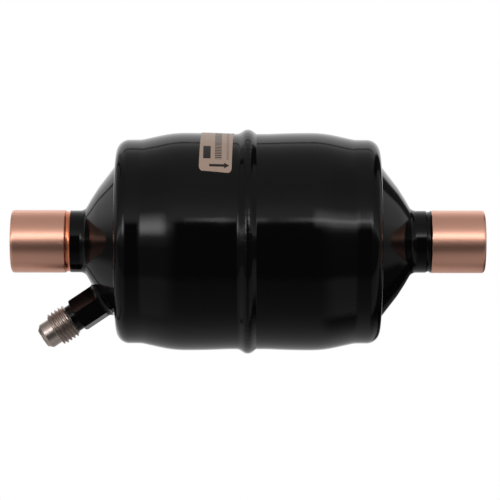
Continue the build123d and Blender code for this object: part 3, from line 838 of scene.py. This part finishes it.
# fields: from and to along the axis, from and to round the barrel, then the bars' pitch and share
DARK_FIELD = (-13.9, -11.6, 18.4, 25.2)
WIDE_BARS = (-10.3, -8.2, 3.0, 25.4, 0.9, 0.55)
FINE_BARS = (-6.7, -5.9, 3.0, 25.8, 0.5, 0.5)
FINE_PRINT = 0.6
shaft = patch(SHAFT_START, SHAFT_END, ARROW_ACROSS - SHAFT_HALF, ARROW_ACROSS + SHAFT_HALF)
from_tip = calc(tree, "SUBTRACT", ARROW_TIP, along_axis)
off_line = calc(tree, "ABSOLUTE", calc(tree, "SUBTRACT", across, ARROW_ACROSS))
in_head = calc(tree, "LESS_THAN", off_line, calc(tree, "MULTIPLY", from_tip, HEAD_SLOPE))
head = times(tree, in_head, band(tree, along_axis, HEAD_START, ARROW_TIP))
fine_bars = times(tree, bars(*FINE_BARS), FINE_PRINT)
ink = shaft
for mark in (head, patch(*DARK_FIELD), bars(*WIDE_BARS), fine_bars):
    ink = calc(tree, "MAXIMUM", ink, mark)
foil_tone = mix_colour(tree, noise(tree, 120, 3), FOIL_PALE, FOIL_DARK)
tree.links.new(mix_colour(tree, ink, foil_tone, LABEL_INK), shader.inputs["Base Color"])
tree.links.new(blend_in(tree, ink, FOIL_METALLIC, 0.0), shader.inputs["Metallic"])
nodes["label"].data.materials[0] = label_foil
print("label print:", len(tree.nodes), "nodes")

# %% [markdown]
# A pale round floor lies well below the drier, which is held by its inlet and doesn't stand on anything.
# It is a plain diffuse disc that takes the drier's shadow. Away from a place behind the drier the camera
# sees it fade to white, as a paper sweep does, and mirrors see through it there to the tent that the
# next cells build. From below the camera looks through the whole disc.

# %% Floor
FLOOR_REACH, FLOOR_SIDES = 0.25, 96
FLOOR_LEFT, FLOOR_BACK, FLOOR_DROP = 0.08, 0.12, 0.11
FADE_START, FADE_END = 0.07, 0.165
rim = [math.tau * i / FLOOR_SIDES for i in range(FLOOR_SIDES)]
floor_mesh = bpy.data.meshes.new("floor")
corners = [(FLOOR_REACH * math.cos(a), FLOOR_REACH * math.sin(a), 0) for a in rim]
floor_mesh.from_pydata(corners, [], [range(FLOOR_SIDES)])
floor = bpy.data.objects.new("floor", floor_mesh)
floor.location = (-FLOOR_LEFT, FLOOR_BACK, -FLOOR_DROP)
bpy.context.scene.collection.objects.link(floor)

floor_finish, tree, shader = material("floor_pale", (0.7, 0.7, 0.7), 0.0, 0.8, Specular_IOR_Level=0.2)
white = put(tree, "ShaderNodeEmission", {0: (1, 1, 1, 1), 1: 1.0})
clear = put(tree, "ShaderNodeBsdfTransparent")
where = put(tree, "ShaderNodeTexCoord").outputs["Object"]
centred = {0: where, 1: (-FLOOR_LEFT, 0, 0)}
from_middle = put(tree, "ShaderNodeVectorMath", centred, operation="ADD").outputs[0]
distance = put(tree, "ShaderNodeVectorMath", {0: from_middle}, operation="LENGTH").outputs["Value"]
fading = {0: distance, 1: FADE_START, 2: FADE_END}
fade = put(tree, "ShaderNodeMapRange", fading, interpolation_type="SMOOTHSTEP").outputs[0]
path = put(tree, "ShaderNodeLightPath").outputs
seen = path["Is Camera Ray"]
mirrored = calc(tree, "MAXIMUM", path["Is Glossy Ray"], path["Is Transmission Ray"])
from_below = times(tree, put(tree, "ShaderNodeNewGeometry").outputs["Backfacing"], seen)
open_to_tent = calc(tree, "MAXIMUM", from_below, times(tree, fade, mirrored))
to_white = {0: times(tree, fade, seen), 1: shader.outputs[0], 2: white.outputs[0]}
whitened = put(tree, "ShaderNodeMixShader", to_white).outputs[0]
to_clear = {0: open_to_tent, 1: whitened, 2: clear.outputs[0]}
final = put(tree, "ShaderNodeMixShader", to_clear).outputs[0]
tree.links.new(final, tree.nodes["Material Output"].inputs["Surface"])
floor_mesh.materials.append(floor_finish)
print("floor", FLOOR_DROP, "m below the flow axis")

# %% [markdown]
# Black gloss shows little but what it mirrors, so its studio matters more than its own colour. This one
# is a tent, made in the world's own nodes: its brightness follows the angle round the flow axis, because
# the barrel mirrors one angle in each of its rows. A colour ramp holds the steps, scaled to stay within
# 0 to 1, and a soft step tells one part of the tent from the next.

# %% World: helpers
world = bpy.data.worlds.new("tent")
bpy.context.scene.world = world
world.use_nodes = True
sky = world.node_tree
BRIGHTEST = 6.0


def levels(value, stops_by_place, whole):
    """Brightness along a value; whole is the length of its range, which has 0 in the middle."""
    ramp = put(sky, "ShaderNodeValToRGB", {0: calc(sky, "MULTIPLY_ADD", value, 1 / whole, 0.5)})
    stops = ramp.color_ramp.elements
    for i, (place, level) in enumerate(stops_by_place):
        stop = stops[i] if i < 2 else stops.new(place / whole + 0.5)
        stop.position = place / whole + 0.5
        stop.color = (*[level / BRIGHTEST] * 3, 1)
    return calc(sky, "MULTIPLY", ramp.outputs[0], BRIGHTEST)


def rise(value, low, high):
    """0 below, 1 above and a soft step between."""
    step = {0: value, 1: low, 2: high}
    return put(sky, "ShaderNodeMapRange", step, interpolation_type="SMOOTHSTEP").outputs[0]


def less(value):
    """What a share leaves of 1."""
    return calc(sky, "SUBTRACT", 1.0, value)


def stretch_of(value, low, high, soft_low, soft_high):
    """1 from one place to another, with a soft step outside each."""
    return times(sky, rise(value, low - soft_low, low), less(rise(value, high, high + soft_high)))


direction = put(sky, "ShaderNodeTexCoord").outputs["Generated"]
ways = put(sky, "ShaderNodeSeparateXYZ", {0: direction}).outputs
left_right, towards_back, height = ways[0], ways[1], ways[2]
turn_up = calc(sky, "ARCTAN2", height, calc(sky, "MULTIPLY", towards_back, -1.0))
angle = calc(sky, "MULTIPLY", turn_up, 180 / math.pi)
aside = calc(sky, "ABSOLUTE", left_right)
is_right = calc(sky, "GREATER_THAN", left_right, 0.0)

# %% [markdown]
# In front, the tent is dark towards the camera and dim below. Above the camera it steps up to a bright
# band, whose mirror image is the line between black and grey along the barrel, and softens overhead.
# Behind the top a narrow dark seam parts ceiling and wall. Off to the sides the band is lower and
# softer, for the shoulders, and a glow far to the left lies on the left one.

# %% World: front
WHOLE_TURN = 360
# angle round the flow axis (0 towards the camera, 90 overhead) and brightness there
BELOW = ((-180, 1.0), (-120, 0.5), (-100, 0.35), (-45, 0.15))
TOWARDS_CAMERA = ((-36, 0.04), (19, 0.04))
OVER_CAMERA = ((21.5, 0.9), (25, 1.3), (33, 1.1), (40, 0.85), (48, 0.7))
OVERHEAD = ((60, 0.6), (96, 0.55), (107, 0.58), (118, 0.7), (126.5, 1.05))
SEAM_BEHIND = ((127.5, 0.1), (129.5, 0.1), (130.5, 1.15))
WALL_BEHIND = ((168, 1.1), (180, 1.0))
IN_LINE = BELOW + TOWARDS_CAMERA + OVER_CAMERA + OVERHEAD + SEAM_BEHIND + WALL_BEHIND
SIDE_TOP = ((34, 0.9), (58, 0.55), (96, 0.45), (180, 0.9))
SIDE_BELOW = ((-180, 0.8), (-45, 0.45))
FRONT_LEFT = SIDE_BELOW + ((-38, 0.2), (-8, 0.2), (2, 0.6), (9, 1.2), (16, 3.4), (24, 1.3)) + SIDE_TOP
FRONT_RIGHT = SIDE_BELOW + ((-38, 0.08), (0, 0.1), (9, 0.2), (17, 1.6), (24, 1.1)) + SIDE_TOP
SIDES_FROM, SIDES_TO = 0.12, 0.4
# stretches: from, to, and the soft step outside each
GLOW_ALONG, GLOW_ROUND = (-0.5, -0.42, 0.1, 0.14), (13, 19, 9, 16)
GLOW_LEVEL = 5.6

in_line = levels(angle, IN_LINE, WHOLE_TURN)
left, right = levels(angle, FRONT_LEFT, WHOLE_TURN), levels(angle, FRONT_RIGHT, WHOLE_TURN)
front = blend_in(sky, rise(aside, SIDES_FROM, SIDES_TO), in_line, blend_in(sky, is_right, left, right))
glow = times(sky, stretch_of(left_right, *GLOW_ALONG), stretch_of(angle, *GLOW_ROUND), GLOW_LEVEL)
front = calc(sky, "ADD", front, glow)
print("stops of the front:", len(IN_LINE) + len(FRONT_LEFT) + len(FRONT_RIGHT))

# %% [markdown]
# At the back the cones and the rims mirror the two ends of the tent, where height matters and not the
# angle. Each end has its own levels, brightest a little above the drier. Dark strips stand for the
# openings of the tent, and the right end is dark low down.

# %% World: back
WHOLE_HEIGHT = 2
# height of a direction (-1 straight down, 1 straight up) and brightness there
LEFT_LOW = ((-1, 0.6), (-0.22, 0.5), (-0.15, 0.13), (0.0, 0.09), (0.06, 0.26), (0.12, 0.58))
LEFT_HIGH = ((0.2, 0.95), (0.26, 1.1), (0.32, 1.0), (0.45, 0.45), (1, 0.4))
RIGHT_LOW = ((-1, 0.02), (-0.24, 0.02), (-0.2, 0.24), (-0.12, 0.3), (-0.03, 0.22), (0.06, 0.4))
RIGHT_HIGH = ((0.12, 0.56), (0.18, 0.72), (0.3, 0.65), (0.45, 0.4), (1, 0.4))
BACK_LEFT, BACK_RIGHT = LEFT_LOW + LEFT_HIGH, RIGHT_LOW + RIGHT_HIGH
ENDS_FROM, ENDS_TO = 0.4, 0.5
LEFT_STRIP, RIGHT_STRIP = (-0.63, -0.6, 0.01, 0.01), (0.5, 0.67, 0.06, 0.03)
LOW_RIGHT = (0.25, 0.7, 0.17, 0.06)
LOW_FROM, LOW_TO = -0.08, -0.03
STRIP_DEPTH, LOW_DEPTH = 0.92, 0.95

left, right = levels(height, BACK_LEFT, WHOLE_HEIGHT), levels(height, BACK_RIGHT, WHOLE_HEIGHT)
back = blend_in(sky, rise(aside, ENDS_FROM, ENDS_TO), in_line, blend_in(sky, is_right, left, right))
left_strip, right_strip = stretch_of(left_right, *LEFT_STRIP), stretch_of(left_right, *RIGHT_STRIP)
strips = times(sky, calc(sky, "MAXIMUM", left_strip, right_strip), STRIP_DEPTH)
low_down = less(rise(height, LOW_FROM, LOW_TO))
low_right = times(sky, stretch_of(left_right, *LOW_RIGHT), low_down, LOW_DEPTH)
back = times(sky, back, less(calc(sky, "MAXIMUM", strips, low_right)))
print("stops of the back:", len(BACK_LEFT) + len(BACK_RIGHT))

# %% [markdown]
# The tent is for mirrors: glossy and transmission rays see it. The camera's own rays see plain white, and
# all other rays a plain even light, so that the diffuse colours render about as they are written.

# %% World: who sees it
PLAIN = 0.8
FRONT_END, BACK_START = -0.1, 0.15
tent = blend_in(sky, rise(towards_back, FRONT_END, BACK_START), front, back)
path = put(sky, "ShaderNodeLightPath").outputs
mirrored = calc(sky, "MAXIMUM", path["Is Glossy Ray"], path["Is Transmission Ray"])
level = blend_in(sky, mirrored, PLAIN, tent)
background = sky.nodes["Background"]
background.inputs["Color"].default_value = (1, 1, 1, 1)
sky.links.new(blend_in(sky, path["Is Camera Ray"], level, 1.0), background.inputs["Strength"])
print("world:", len(sky.nodes), "nodes")

# %% [markdown]
# Three softboxes are lamps, because a lamp is sampled well and a small bright patch of a world is not.
# A long strip above the camera draws out the thin bright line along the barrel, and a broad box to the
# right lies on the right shoulder. A third hangs overhead for the diffuse light, hidden from mirrors. A
# real softbox is dimmer towards its edges, so edges fade by the lamp's own Parametric coordinate.

# %% Softboxes
LAMP_DISTANCE = 1.1


def soften_edges(tree, fades):
    """Fade a lamp's strength over a share of its width or height at each edge that has one."""
    parametric = put(tree, "ShaderNodeNewGeometry").outputs["Parametric"]
    across, up = put(tree, "ShaderNodeSeparateXYZ", {0: parametric}).outputs[:2]
    strength = 1.0
    for place, start, end in ((across, fades[0], fades[1]), (up, fades[2], fades[3])):
        for value, share in ((place, start), (calc(tree, "SUBTRACT", 1.0, place), end)):
            if share:
                edge = {0: value, 1: 0.0, 2: share}
                step = put(tree, "ShaderNodeMapRange", edge, interpolation_type="SMOOTHSTEP")
                strength = times(tree, step.outputs[0], strength)
    if any(fades):
        tree.links.new(strength, tree.nodes["Emission"].inputs["Strength"])


def softbox(name, left, right, low, high, radiance, fades=(0, 0, 0, 0)):
    """An area lamp along the flow axis, between two angles above the camera; fades are the shares of its
    width and height over which each edge softens: left, right, lower and upper."""
    middle = math.radians((low + high) / 2)
    width, tall = right - left, 2 * LAMP_DISTANCE * math.tan(math.radians(high - low) / 2)
    lamp = bpy.data.lights.new(name, "AREA")
    lamp.shape, lamp.size, lamp.size_y = "RECTANGLE", width, tall
    lamp.energy = radiance * math.pi * width * tall
    box = bpy.data.objects.new(name, lamp)
    box.location = ((left + right) / 2, -LAMP_DISTANCE * math.cos(middle), LAMP_DISTANCE * math.sin(middle))
    box.rotation_euler = (math.pi / 2 - middle, 0, 0)
    bpy.context.scene.collection.objects.link(box)
    lamp.use_nodes = True
    soften_edges(lamp.node_tree, fades)
    return box


softbox("softbox_strip", -0.09, 0.6, 20.3, 25, 3.6, (0.24, 0, 0, 0.4))
softbox("softbox_right", 0.055, 0.6, 13, 37, 3.0, (0.18, 0.1, 0.3, 0.6))
overhead = softbox("softbox_overhead", -0.4, 0.4, 65, 95, 0.3)
overhead.visible_glossy = False
print("lamps:", len(bpy.data.lights))

# %% [markdown]
# The camera looks level along +Y from about 0.9 m with a long lens, square to the flow axis, a little
# below it and with a roll of less than a tenth of a degree.

# %% Camera
FOCAL_LENGTH, SENSOR_WIDTH = 206, 36
CAMERA_PLACE = (0.6 * MM, -0.905, -2.66 * MM)
ROLL = math.radians(-0.075)
lens = bpy.data.cameras.new("camera")
lens.lens, lens.sensor_width = FOCAL_LENGTH, SENSOR_WIDTH
camera = bpy.data.objects.new("camera", lens)
camera.location = CAMERA_PLACE
camera.rotation_euler = (math.radians(90), ROLL, 0)
bpy.context.scene.collection.objects.link(camera)
bpy.context.scene.camera = camera
bpy.context.scene.view_settings.view_transform = "Standard"
print("camera at", CAMERA_PLACE)
